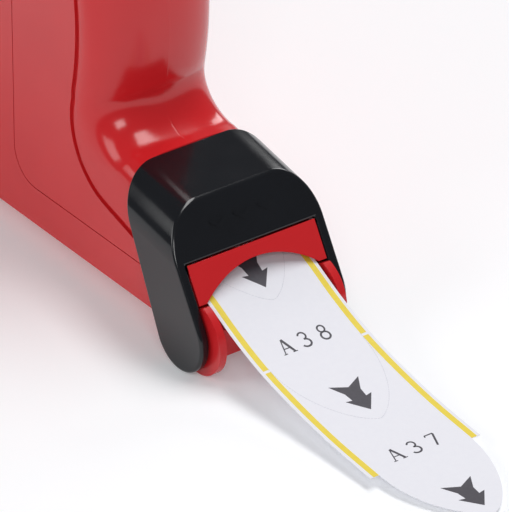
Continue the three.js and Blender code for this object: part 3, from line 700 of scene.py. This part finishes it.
# Three low chevrons on the front panel point down to the mouth.
CHEVRON_DOWN = 7.5
chevron = [(-2.6, -1.0), (0, 0.9), (2.6, -1.0), (2.6, 0.0), (0, 1.9), (-2.6, 0.0)]
for number, across in enumerate((-8.0, 0.0, 8.0)):
    ribs = [[place(*on_front(CHEVRON_DOWN + d, depth), across + x) for x, d in chevron]
            for depth in (-0.35, 0.1)]
    mark = smooth(loft(f"panel_chevron_{number + 1}", ribs), bevel=0.05)
    dress(mark, black_plastic, "cover", "black_plastic")

# %% [markdown]
# ## Lip and cradle
# The red lip closes the mouth below the black panel. Its lower edge is an arch cut along the
# paper's own way out. Two red cheeks stand behind the black legs and carry the floor under the
# paper, the tray inside and the posts for the guide roller.

# %% Lip
LIP_HEIGHT, LIP_THICKNESS, ARCH_CHORD, ARCH_RISE = 11.7, 3.0, 37.6, 4.5
EXIT, EXIT_SLOPE = (144.3, 21.0), 22.0
LIP_HALF = inner_half - GAP
top, bottom = PANEL_HEIGHT + GAP, PANEL_HEIGHT + LIP_HEIGHT
face = [on_front(top), on_front(bottom), on_front(bottom, LIP_THICKNESS), on_front(top, LIP_THICKNESS)]
lip = plate("lip_shell", face, -LIP_HALF, LIP_HALF)
tab = [(top + 1.5, 2.5), (top + 1.5, 5.3), (PANEL_HEIGHT - 8, 5.3), (PANEL_HEIGHT - 8, 3.3),
       (top + 0.2, 3.3), (top + 0.2, 2.5)]
join(lip, plate("tab", [on_front(*at) for at in tab], -15, 15))
# The arch is cut along the way that the paper leaves.
half = ARCH_CHORD / 2
radius = (ARCH_CHORD**2 / 4 + ARCH_RISE**2) / (2 * ARCH_RISE)
swing = math.degrees(math.asin(half / radius))
section = [(-half, -20), (half, -20)]
section += arc((0, ARCH_RISE - radius), radius, 90 - swing, 90 + swing, 40)
cut(lip, sloped("lip_arch", section, on_front(bottom), EXIT_SLOPE, -20.0, 20.0))
smooth(lip, bevel=0.35, segments=3)
dress(lip, red_plastic, "cover", "red_plastic", "mouth_lip")

# %% Cradle
CHEEK, CHEEK_TOE, CHEEK_RADIUS = 2.3, 142.7, 11.0
FLOOR_HALF_WIDTH = LIP_HALF - CHEEK + 0.3
roller_at = side_view(middle("guide_roller"))
under_lip = on_front(bottom + GAP)
cheek_side = [(CHEEK_TOE, 0), *arc((CHEEK_TOE, CHEEK_RADIUS), CHEEK_RADIUS, -80, 74, 48),
              under_lip + into_hood * 12.8, (NOZZLE_END + GAP, 3), (NOZZLE_END + GAP + 3, 0)]
below = [under_lip - into_hood * 30, under_lip + into_hood * 30, (90, -40), (190, -40)]
mouth_floor = [(133.8, 18.6), (147, 13.2), (147, 11), (146, 4), (144, 4), (145, 11), (133.8, 16.4)]
cradle = plate("cradle", mouth_floor, -FLOOR_HALF_WIDTH, FLOOR_HALF_WIDTH)
tray_half, tray_base = HALF_WIDTH - WALL - GAP, UNDERSIDE + WALL + GAP
tray = [(94, tray_base), (94, 13.3), (126, 13.3), (134.8, 18.2), (134.8, 14.5), (131, tray_base)]
join(cradle, plate("tray", tray, -tray_half, tray_half))
post = [(roller_at[0] - 7, 12), (roller_at[0] + 7, 12), *arc(roller_at, 4, -10, 190, 24)]
for sign in (-1, 1):
    low, high = sorted((sign * (LIP_HALF - CHEEK), sign * LIP_HALF))
    join(cradle, trim(plate("cheek", cheek_side, low, high), plate("below", below)))
    low, high = sorted((sign * 15.3, sign * 17.3))
    join(cradle, plate("post", post, low, high))
cut(cradle, rod("shaft_bore", roller_at, PIN_BORE, steps=24))
for forward, across in cradle_screws:
    cut(cradle, upright("bore", forward, across, SHANK, 10, 20))
smooth(cradle, bevel=0.3, segments=3)
dress(cradle, red_plastic, "housing", "red_plastic", "mouth_cradle")

# %% [markdown]
# ## The tickets
# The strip keeps the curl of the roll as it leaves the mouth, then falls towards the table. Its
# loose end is a torn tongue. Everything printed on it is laid out flat first, as across and along
# from the shoulder of the last full ticket, and then wrapped onto the strip.

# %% The strip
PAPER_HALF, PAPER_THICK, TICKET = 18.25, 0.16, 50.0
SHOULDER, TONGUE_END, TONGUE_HALF = 217.0, 247.0, 15.4
CURL_RADIUS, TAIL_START = 265.0, 107.0
slope = math.radians(EXIT_SLOPE)
curl = (EXIT[0] + CURL_RADIUS * math.sin(slope), EXIT[1] + CURL_RADIUS * math.cos(slope))


def on_curl(forward, radius):
    return (forward, curl[1] - math.sqrt(radius**2 - (forward - curl[0]) ** 2))


def catmull(points, steps):
    """A centripetal Catmull-Rom curve through side-view points."""
    p = [np.array(q, float) for q in points]
    p = [2 * p[0] - p[1], *p, 2 * p[-1] - p[-2]]
    last = len(p) - 3
    made = []
    for i in range(1, last + 1):
        before, here, after = (np.linalg.norm(p[i + k] - p[i + k - 1]) ** 0.5 for k in (0, 1, 2))
        step = (p[i + 1] - p[i]) / here
        leave = (p[i] - p[i - 1]) / before - (p[i + 1] - p[i - 1]) / (before + here)
        arrive = step - (p[i + 2] - p[i]) / (here + after)
        leave, arrive = (leave + step) * here, (arrive + (p[i + 2] - p[i + 1]) / after) * here
        for s in np.linspace(0, 1, steps + 1)[: None if i == last else -1]:
            straight = p[i] * (2 * s**3 - 3 * s**2 + 1) + p[i + 1] * (3 * s**2 - 2 * s**3)
            made.append(straight + leave * (s**3 - 2 * s**2 + s) + arrive * (s**3 - s**2))
    return made


fall = [EXIT, (155, 15.9), (166.6, 11.5), (180, 8.1), (198, 5.0), (SHOULDER, 3.2), (232, 1.8),
        (TONGUE_END, 1.2)]
path = [np.array(on_curl(f, CURL_RADIUS)) for f in np.linspace(TAIL_START, EXIT[0], 40)[:-1]]
path += catmull(fall, 24)
lengths = np.concatenate([[0], np.cumsum([np.linalg.norm(b - a) for a, b in zip(path, path[1:])])])
forwards, heights = np.array([p[0] for p in path]), np.array([p[1] for p in path])
shoulder_at = float(np.interp(SHOULDER, forwards, lengths))
reach = lengths[-1] - shoulder_at


def on_path(at):
    return np.array([np.interp(at, lengths, forwards), np.interp(at, lengths, heights)])


def on_strip(across, along, lift=0.0):
    """A place on the paper: millimetres across it, and along it from the last full shoulder."""
    forward, up = on_path(shoulder_at + along)
    way = on_path(shoulder_at + along + 0.5) - on_path(shoulder_at + along - 0.5)
    way /= np.linalg.norm(way)
    return place(forward - way[1] * lift, up + way[0] * lift, across)


def tongue_half(along):
    """Half the width of a torn tongue at a distance past its shoulder."""
    return TONGUE_HALF * max(0.0, 1 - (along / reach) ** 1.9) ** 0.7


def paper_solid(name, rows, thick):
    """A thin closed sheet from rows of (half width, along), with columns across."""
    columns = np.linspace(-1, 1, 25)
    points = [on_strip(half * c, along, side * thick / 2)
              for side in (1, -1) for half, along in rows for c in columns]
    wide, many = len(columns), len(rows)
    layer = wide * many
    faces = []
    for r in range(many - 1):
        for a in range(r * wide, r * wide + wide - 1):
            cell = (a, a + 1, a + wide + 1, a + wide)
            faces += [cell, tuple(layer + i for i in (cell[0], *cell[:0:-1]))]
    border = [*range(wide), *(r * wide + wide - 1 for r in range(1, many)),
              *(layer - 1 - c for c in range(1, wide)), *(r * wide for r in range(many - 2, 0, -1))]
    for a, b in zip(border, border[1:] + border[:1]):
        faces.append((b, a, layer + a, layer + b))
    return new_piece(name, points, faces)


rows = [(PAPER_HALF, a) for a in np.linspace(-shoulder_at, 0, 170)] + [(tongue_half(0.01), 0.02)]
shares = np.sin(np.linspace(0, math.pi / 2, 41))[1:]
rows += [(max(0.5, tongue_half(reach * t)), reach * t) for t in shares]
strip = paper_solid("paper_strip", rows, PAPER_THICK)
dress(smooth(strip, angle=50), ticket_paper, "strip", "ticket_paper", "ticket_strip")
flat_area = sum((b[1] - a[1]) * (a[0] + b[0]) for a, b in zip(rows, rows[1:])) * MM * MM

# %% [markdown]
# The print is thin ink on the paper. Each mark is a flat outline, cut into small cells so that it
# bends with the strip, and lifted a hair above it.


# %% Print
INK, SUNK, CELL = 0.03, -0.02, 1.5


def printed(name, outline, material):
    """Ink in the shape of a flat outline of (across, along), wrapped onto the strip."""
    shape = bmesh.new()
    shape.faces.new([shape.verts.new((x, a, 0)) for x, a in outline])
    alongs = [a for _, a in outline]
    for at in np.arange(min(alongs) + CELL, max(alongs), CELL):
        everything = shape.verts[:] + shape.edges[:] + shape.faces[:]
        bmesh.ops.bisect_plane(shape, geom=everything, plane_co=(0, at, 0), plane_no=(0, 1, 0))
    return wrapped(name, shape, material)


def wrapped(name, shape, material):
    bmesh.ops.triangulate(shape, faces=shape.faces[:])
    flat = [v.co.copy() for v in shape.verts]
    shape.verts.index_update()
    cells = [[v.index for v in f.verts] for f in shape.faces]
    rims = [[v.index for v in e.verts] for e in shape.edges if e.is_boundary]
    shape.free()
    count = len(flat)
    points = [on_strip(v.x, v.y, PAPER_THICK / 2 + lift) for lift in (INK, SUNK) for v in flat]
    faces = cells + [[count + i for i in reversed(c)] for c in cells]
    faces += [(a, b, count + b, count + a) for a, b in rims]
    return dress(new_piece(name, points, faces), material, "strip", "ticket_paper")


arrow = [(0, 8.3), (-4.3, 2.6), (-2.3, 3), (-2.6, 0), (-5, -4.4), (0, -2), (5, -4.4), (2.6, 0),
         (2.3, 3), (4.3, 2.6)]
ARROW_AHEAD, LINE_OUT, LINE_IN = 17.5, 17.25, 15.45
for number in range(3):
    outline = [(x, a + ARROW_AHEAD - number * TICKET) for x, a in arrow]
    printed(f"arrow_{number + 1}", outline, dark_ink)
for side, sign in (("left", -1), ("right", 1)):
    for number, ends in enumerate(((0.0, 0.9 - TICKET), (-TICKET, 1 - shoulder_at))):
        band = [(LINE_IN, ends[0]), (LINE_IN, ends[1]), (LINE_OUT, ends[1]), (LINE_OUT, ends[0])]
        band = [(sign * x, a) for x, a in band]
        printed(f"edge_line_{side}_{number + 1}", band, yellow_ink)


# Each character is a few pen strokes in a box one high: points along the stroke, then its width.
CHARACTERS = {
    "A": [([(-0.01, 1.0), (0.31, 0.02)], 0.1), ([(-0.03, 0.98), (-0.3, 0.02)], 0.045),
          ([(-0.19, 0.36), (0.2, 0.36)], 0.045), ([(-0.41, 0.02), (-0.19, 0.02)], 0.04),
          ([(0.17, 0.02), (0.45, 0.02)], 0.04)],
    "3": [(oval(-0.02, 0.75, 0.22, 0.23, 160, -90), 0.07),
          (oval(-0.03, 0.27, 0.28, 0.26, 90, -155), 0.08)],
    "7": [([(-0.26, 0.83), (-0.22, 0.97)], 0.05), ([(-0.24, 0.96), (0.29, 0.96)], 0.06),
          ([(0.28, 0.95), (-0.06, 0.0)], 0.08)],
    "8": [(oval(0, 0.75, 0.2, 0.22, 0, 360, 32), 0.07), (oval(0, 0.27, 0.26, 0.26, 0, 360, 32), 0.08)],
}
LETTER_HEIGHT, LETTER_PITCH, STROKE = 5.2, 6.3, 1.4


def ticket_number(name, text, along):
    """A number across the strip, its top towards the dispenser."""
    shape = bmesh.new()
    for turn, letter in zip((-1, 0, 1), text):
        for points, width in CHARACTERS[letter]:
            line = np.array(points) * LETTER_HEIGHT
            out = beside(line, width * LETTER_HEIGHT * STROKE)
            for cell in zip(line + out, line - out, (line - out)[1:], (line + out)[1:]):
                spots = [(x + turn * LETTER_PITCH, along + LETTER_HEIGHT / 2 - y, 0) for x, y in cell]
                shape.faces.new([shape.verts.new(spot) for spot in spots])
    bmesh.ops.remove_doubles(shape, verts=shape.verts, dist=1e-4)
    return wrapped(name, shape, dark_ink)


for place_word, text, along in (("ahead", "A37", -5.0), ("behind", "A38", -5.0 - TICKET)):
    ticket_number(f"number_{place_word}", text, along)

# %% [markdown]
# Perforations are rows of short cuts. Geometry Nodes lays them: a line of points becomes a curve,
# is resampled to a count, and a dash is put on each point, turned along the curve.

# %% A node group that repeats a dash along a line


def repeat_group():
    group = bpy.data.node_groups.new("repeat_along_line", "GeometryNodeTree")
    face = group.interface
    for name, kind in (("Line", "Geometry"), ("Dash", "Object"), ("Count", "Int"), ("Jitter", "Float"),
                       ("Seed", "Int"), ("Material", "Material")):
        face.new_socket(name, in_out="INPUT", socket_type=f"NodeSocket{kind}")
    face.new_socket("Pieces", in_out="OUTPUT", socket_type="NodeSocketGeometry")
    nodes, links = group.nodes, group.links
    given, out = nodes.new("NodeGroupInput"), nodes.new("NodeGroupOutput")

    def node(kind, **inputs):
        made = nodes.new(kind)
        for key, value in inputs.items():
            socket = made.inputs[key.replace("_", " ")]
            if isinstance(value, bpy.types.NodeSocket):
                links.new(value, socket)
            else:
                socket.default_value = value
        return made

    curve = node("GeometryNodeMeshToCurve", Mesh=given.outputs["Line"])
    even = node("GeometryNodeResampleCurve", Curve=curve.outputs[0], Count=given.outputs["Count"])
    dash = node("GeometryNodeObjectInfo", Object=given.outputs["Dash"])
    tangent = nodes.new("GeometryNodeInputTangent")
    turn = node("FunctionNodeAlignRotationToVector", Vector=tangent.outputs[0])
    turn.axis = "X"
    spread = nodes.new("FunctionNodeRandomValue")
    spread.data_type = "FLOAT"
    links.new(given.outputs["Seed"], spread.inputs["Seed"])
    for operation, socket in (("SUBTRACT", 2), ("ADD", 3)):
        maths = nodes.new("ShaderNodeMath")
        maths.operation, maths.inputs[0].default_value = operation, 1.0
        links.new(given.outputs["Jitter"], maths.inputs[1])
        links.new(maths.outputs[0], spread.inputs[socket])
    laid = node("GeometryNodeInstanceOnPoints", Points=even.outputs[0],
                Instance=dash.outputs["Geometry"], Rotation=turn.outputs[0], Scale=spread.outputs[1])
    real = node("GeometryNodeRealizeInstances", Geometry=laid.outputs[0])
    done = node("GeometryNodeSetMaterial", Geometry=real.outputs[0],
                Material=given.outputs["Material"])
    links.new(done.outputs[0], out.inputs[0])
    return group


repeat = repeat_group()


def repeated(name, line, dash, count, jitter, material, body, slot, closed=False, seed=3):
    """A dash repeated along a line of points, as one plain mesh."""
    data = bpy.data.meshes.new(name)
    last = len(line) - 1
    edges = [(i, i + 1) for i in range(last)] + ([(last, 0)] if closed else [])
    data.from_pydata([tuple(p) for p in line], edges, [])
    made = add_object(name, data)
    laying = made.modifiers.new("repeat", "NODES")
    laying.node_group = repeat
    values = {"Dash": dash, "Count": count, "Jitter": jitter, "Seed": seed, "Material": material}
    for item in repeat.interface.items_tree:
        if item.in_out == "INPUT" and item.name in values:
            laying[item.identifier] = values[item.name]
    evaluated(made)
    return dress(made, material, body, slot)


# %% Perforations
def bar(name, length, width, height):
    """A small bar along X at the origin, in millimetres, for repeating."""
    ends = (-1, 1)
    size = [Vector((x * length, y * width, z * height)) * MM / 2
            for x in ends for y in ends for z in ends]
    faces = [(0, 1, 3, 2), (4, 6, 7, 5), (0, 4, 5, 1), (2, 3, 7, 6), (0, 2, 6, 4), (1, 5, 7, 3)]
    return new_piece(name, size, faces)


# The dashes mark the real cuts. Their grey is a darker copy of the paper and is painted shade in the
# slits.
slit_shade_mark = soft_finish("perforation_cut_shade", (0.6, 0.6, 0.67), (0.68, 0.68, 0.74), 0.8, 900, 0.1, 0.00003)
dash = bar("perforation_dash", 0.75, 0.13, 0.05)
CUTS = 76
for number in (1, 2):
    shares = np.sin(np.linspace(0, math.pi / 2, 60))
    sides = [(tongue_half(reach * t), reach * t - number * TICKET) for t in shares]
    line = [on_strip(x, a, PAPER_THICK / 2) for x, a in sides]
    line += [on_strip(-x, a, PAPER_THICK / 2) for x, a in sides[::-1][1:]]
    repeated(f"perforation_{number}", line, dash, CUTS, 0.12, slit_shade_mark, "strip", "ticket_paper",
             seed=4 + number)
bpy.data.objects.remove(dash)


# %% [markdown]
# ## Inside
# The roll turns on a spindle through the drum. Its paper runs forward under the nozzle's roof,
# over a small roller and out of the mouth. Turned pieces come from one function.


# %% Turned pieces
def turned(name, origin, axis, profile, steps=48):
    """A profile of (along, radius) in millimetres turned about an axis; a radius of 0 ends on it."""
    axis = Vector(axis).normalized()
    side = axis.orthogonal().normalized()
    other = axis.cross(side)
    closed_on_axis = profile[0][1] == 0 and profile[-1][1] == 0
    rings = profile if closed_on_axis else [*profile, profile[0]]
    points = []
    for along, radius in rings:
        for turn in 2 * math.pi * np.arange(steps) / steps:
            out = side * math.cos(turn) + other * math.sin(turn)
            points.append(origin + (axis * along + out * radius) * MM)
    return new_piece(name, points, around(steps, len(points)), slivers=True)


ACROSS = (1, 0, 0)
on_axis = place(0, drum_up)


def tube(name, inner, outer, half, steps=96):
    profile = [(-half, inner), (-half, outer), (half, outer), (half, inner)]
    return turned(name, on_axis, ACROSS, profile, steps)


# %% Roll, core, hub, spindle and cap
core_hub = tube("roll_hub", 6.3, 18.9, PAPER_HALF)
for turn in np.radians(60 * np.arange(6)):
    hole = (12.5 * math.cos(turn), drum_up + 12.5 * math.sin(turn))
    for low, high in ((PAPER_HALF - 3, WIDE), (-WIDE, 3 - PAPER_HALF)):
        cut(core_hub, rod("hole", hole, 3.6, low, high, 24))
dress(smooth(core_hub, bevel=0.3), grey_plastic, "roll", "grey_plastic", "core_hub")
core = smooth(tube("cardboard_core", 19.2, 21.2, PAPER_HALF), bevel=0.15)
dress(core, cardboard, "roll", "cardboard", "roll_core")
roll = smooth(tube("ticket_roll", 21.5, 58, PAPER_HALF, 192), bevel=0.25)
dress(roll, roll_paper, "roll", "roll_paper", "paper_roll")

profile = [(-23, 0), (-23, 9.4), (-22.6, 10.4), (-21.9, 11), (-20.8, 11), (-20.8, 6), (21.6, 6),
           (22.4, 5.2), (22.4, 0)]
spindle = turned("spindle", on_axis, ACROSS, profile, 72)
for turn in (0, 90):
    slot = bar("driver_slot", 3, 1.6, 11)
    spin = Matrix.Rotation(math.radians(turn), 4, "X")
    slot.data.transform(Matrix.Translation(on_axis + Vector((-0.0235, 0, 0))) @ spin)
    cut(spindle, slot)
smooth(spindle, bevel=0.15)
dress(spindle, grey_plastic, "housing", "grey_plastic", "roll_spindle")
low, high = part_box("spindle_cap")
inner, outer = low.x / MM, high.x / MM
profile = [(outer, 0), (outer, 9.4), (outer - 0.4, 10.4), (outer - 0.9, 11), (inner, 11), (inner, 6.3),
           (22.7, 6.3), (22.7, 0)]
cap = smooth(turned("cap", on_axis, ACROSS, profile, 72))
dress(cap, grey_plastic, "housing", "grey_plastic", "spindle_cap")
grip = bar("grip_rib", 0.5, 1.0, 0.8)
RIB_OUT = 10.95 * MM
rim = [on_axis + Vector((22.0 * MM, RIB_OUT * math.cos(t), RIB_OUT * math.sin(t)))
       for t in np.linspace(0, 2 * math.pi, 97)[:-1]]
repeated("cap_grip_ribs", rim, grip, 48, 0.0, grey_plastic, "housing", "grey_plastic", closed=True)
bpy.data.objects.remove(grip)

# %% Roller, shaft, hinge pin
profile = [(-15, 1.8), (-15, 4.5), (-14.5, 5)]
profile += [(x, 5 - 0.25 * (round(x * 2) % 2)) for x in np.arange(-14, 14.25, 0.5)]
profile += [(14.5, 5), (15, 4.5), (15, 1.8)]
roller = smooth(turned("roller", middle("guide_roller"), ACROSS, profile, 64))
dress(roller, grey_plastic, "roller", "grey_plastic", "guide_roller")
for name, node, half in (("roller_shaft", "guide_shaft", 17.8), ("cover_pin", "hinge_pin", 10.8)):
    profile = [(-half, 0), (-half, 1.2), (0.3 - half, 1.5), (half - 0.3, 1.5), (half, 1.2), (half, 0)]
    pin = smooth(turned(name, middle(node), ACROSS, profile, 32))
    dress(pin, turned_steel, "housing", "steel", node)


# %% The paper inside, from the roll to the mouth
ROLL_REACH, ROLLER_REACH = 58.5, 5.5
to_roller = np.array(roller_at) - (0, drum_up)
lean = math.asin((ROLL_REACH + ROLLER_REACH) / np.linalg.norm(to_roller))
heading = math.atan2(to_roller[1], to_roller[0]) + lean
off_roll = drum_point(ROLL_REACH, heading - math.pi / 2)
over = arc(roller_at, ROLLER_REACH, math.degrees(heading) + 90, 90 - 29.3, 16)
line = [off_roll + (over[0] - off_roll) * t for t in np.linspace(0.002, 1, 12)[:-1]]
line += over
line += [on_curl(f, CURL_RADIUS + 0.7) for f in np.linspace(over[-1][0], EXIT[0] - 3, 30)[1:]]
line = np.array(line)
out = beside(line, PAPER_THICK)
outline = [*(line + out), *(line - out)[::-1]]
web = smooth(plate("paper_inside", outline, -PAPER_HALF, PAPER_HALF), angle=60)
dress(web, ticket_paper, "housing", "ticket_paper", "paper_web")

# %% [markdown]
# ## Fixings
# Screws have a domed head and a cross recess. Two rubber feet stand under the heel, and a zinc
# plate with keyholes on the rear land lets the dispenser hang on a wall.


# %% Screws: the head of each kind as (along, radius), from the head's middle
SHANK_RADIUS = 1.2
domed = [(0, 0), (0.05, 1.2), (0.5, 2.1), (1.0, 2.4), (1.4, 2.4), (1.4, SHANK_RADIUS)]
sunk = [(0, 0), (0, 3.0), (0.25, 3.3), (1.8, SHANK_RADIUS)]


def screw(name, node, head, axis):
    """A screw in the box of its node; its axis points from the head to the tip."""
    low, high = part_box(node)
    which = 2 if axis.z else 1
    origin = (low + high) / 2
    origin[which] = low[which] if axis[which] > 0 else high[which]
    length = (high[which] - low[which]) / MM
    made = turned(name, origin, axis, [*head, (length, SHANK_RADIUS), (length, 0)], 32)
    turn = axis.to_track_quat("X", "Z").to_matrix().to_4x4()
    for angle in (0, 90):
        blade = bar("blade", 2.2, 0.5, 2.6)
        spin = Matrix.Rotation(math.radians(angle), 4, "X")
        blade.data.transform(Matrix.Translation(origin - axis * 0.3 * MM) @ turn @ spin)
        cut(made, blade)
    dress(smooth(made), turned_steel, "housing", "steel", node)


for word in ("left", "right"):
    screw(f"tray_screw_{word}", f"cradle_screw_{word}", domed, Vector((0, 0, 1)))
for word in ("lower", "upper"):
    screw(f"plate_screw_{word}", f"wall_plate_screw_{word}", sunk, Vector((0, -1, 0)))

# %% Feet and wall plate
for word, centre in feet.items():
    low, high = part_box(f"rubber_foot_{word}")
    tall = (high.z - low.z) / MM
    profile = [(0, 0), (0, 3.9), (0.25, 4.6), (0.9, 5), (tall, 5), (tall, 0)]
    foot = turned(f"foot_{word}", Vector((centre.x, centre.y, 0)), (0, 0, 1), profile)
    dress(smooth(foot), rubber, "housing", "rubber", f"rubber_foot_{word}")

PLATE_CORNER, ENTRY, NECK_HALF = 2, 4, 2.1
low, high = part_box("wall_plate")
back, front = side_view(high)[0], side_view(low)[0]
through = (back - 1, front + 1)
half_wide, half_tall = ((high[i] - low[i]) / 2 / MM - PLATE_CORNER for i in (0, 2))
section = []
for x, u, start in ((1, 1, 0), (-1, 1, 90), (-1, -1, 180), (1, -1, 270)):
    section += arc((x * half_wide, drum_up + u * half_tall), PLATE_CORNER, start, start + 90, 8)
wall_plate = loft("plate", [[place(f, u, x) for x, u in section] for f in (back, front)])
for up in KEYHOLES:
    low, high = up - 2, up + 2.6
    cut(wall_plate, fore_aft("entry", low, ENTRY, *through))
    cut(wall_plate, fore_aft("neck_end", high, NECK_HALF, *through))
    neck = [(-NECK_HALF, low), (NECK_HALF, low), (NECK_HALF, high), (-NECK_HALF, high)]
    cut(wall_plate, loft("neck", [[place(f, u, x) for x, u in neck] for f in through]))
for up in plate_screws:
    cut(wall_plate, fore_aft("bore", up, SHANK, *through))
    cut(wall_plate, fore_aft("sink", up, 5, back - 1, back + 2, SHANK))
dress(smooth(wall_plate, bevel=0.2), zinc_plate, "housing", "zinc_plate", "wall_plate")

# %% [markdown]
# The last few pieces sit inside the hood and show as they were packed.

# %% Hidden pieces
hidden = ["pressure_spring_screw"]
hidden += [f"{stem}_screw_{word}" for stem in ("hood", "lip") for word in ("left", "right")]
for node in (*hidden, "pressure_spring"):
    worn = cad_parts[node].data.materials
    worn.clear()
    worn.append(turned_steel if node in hidden else spring_steel)
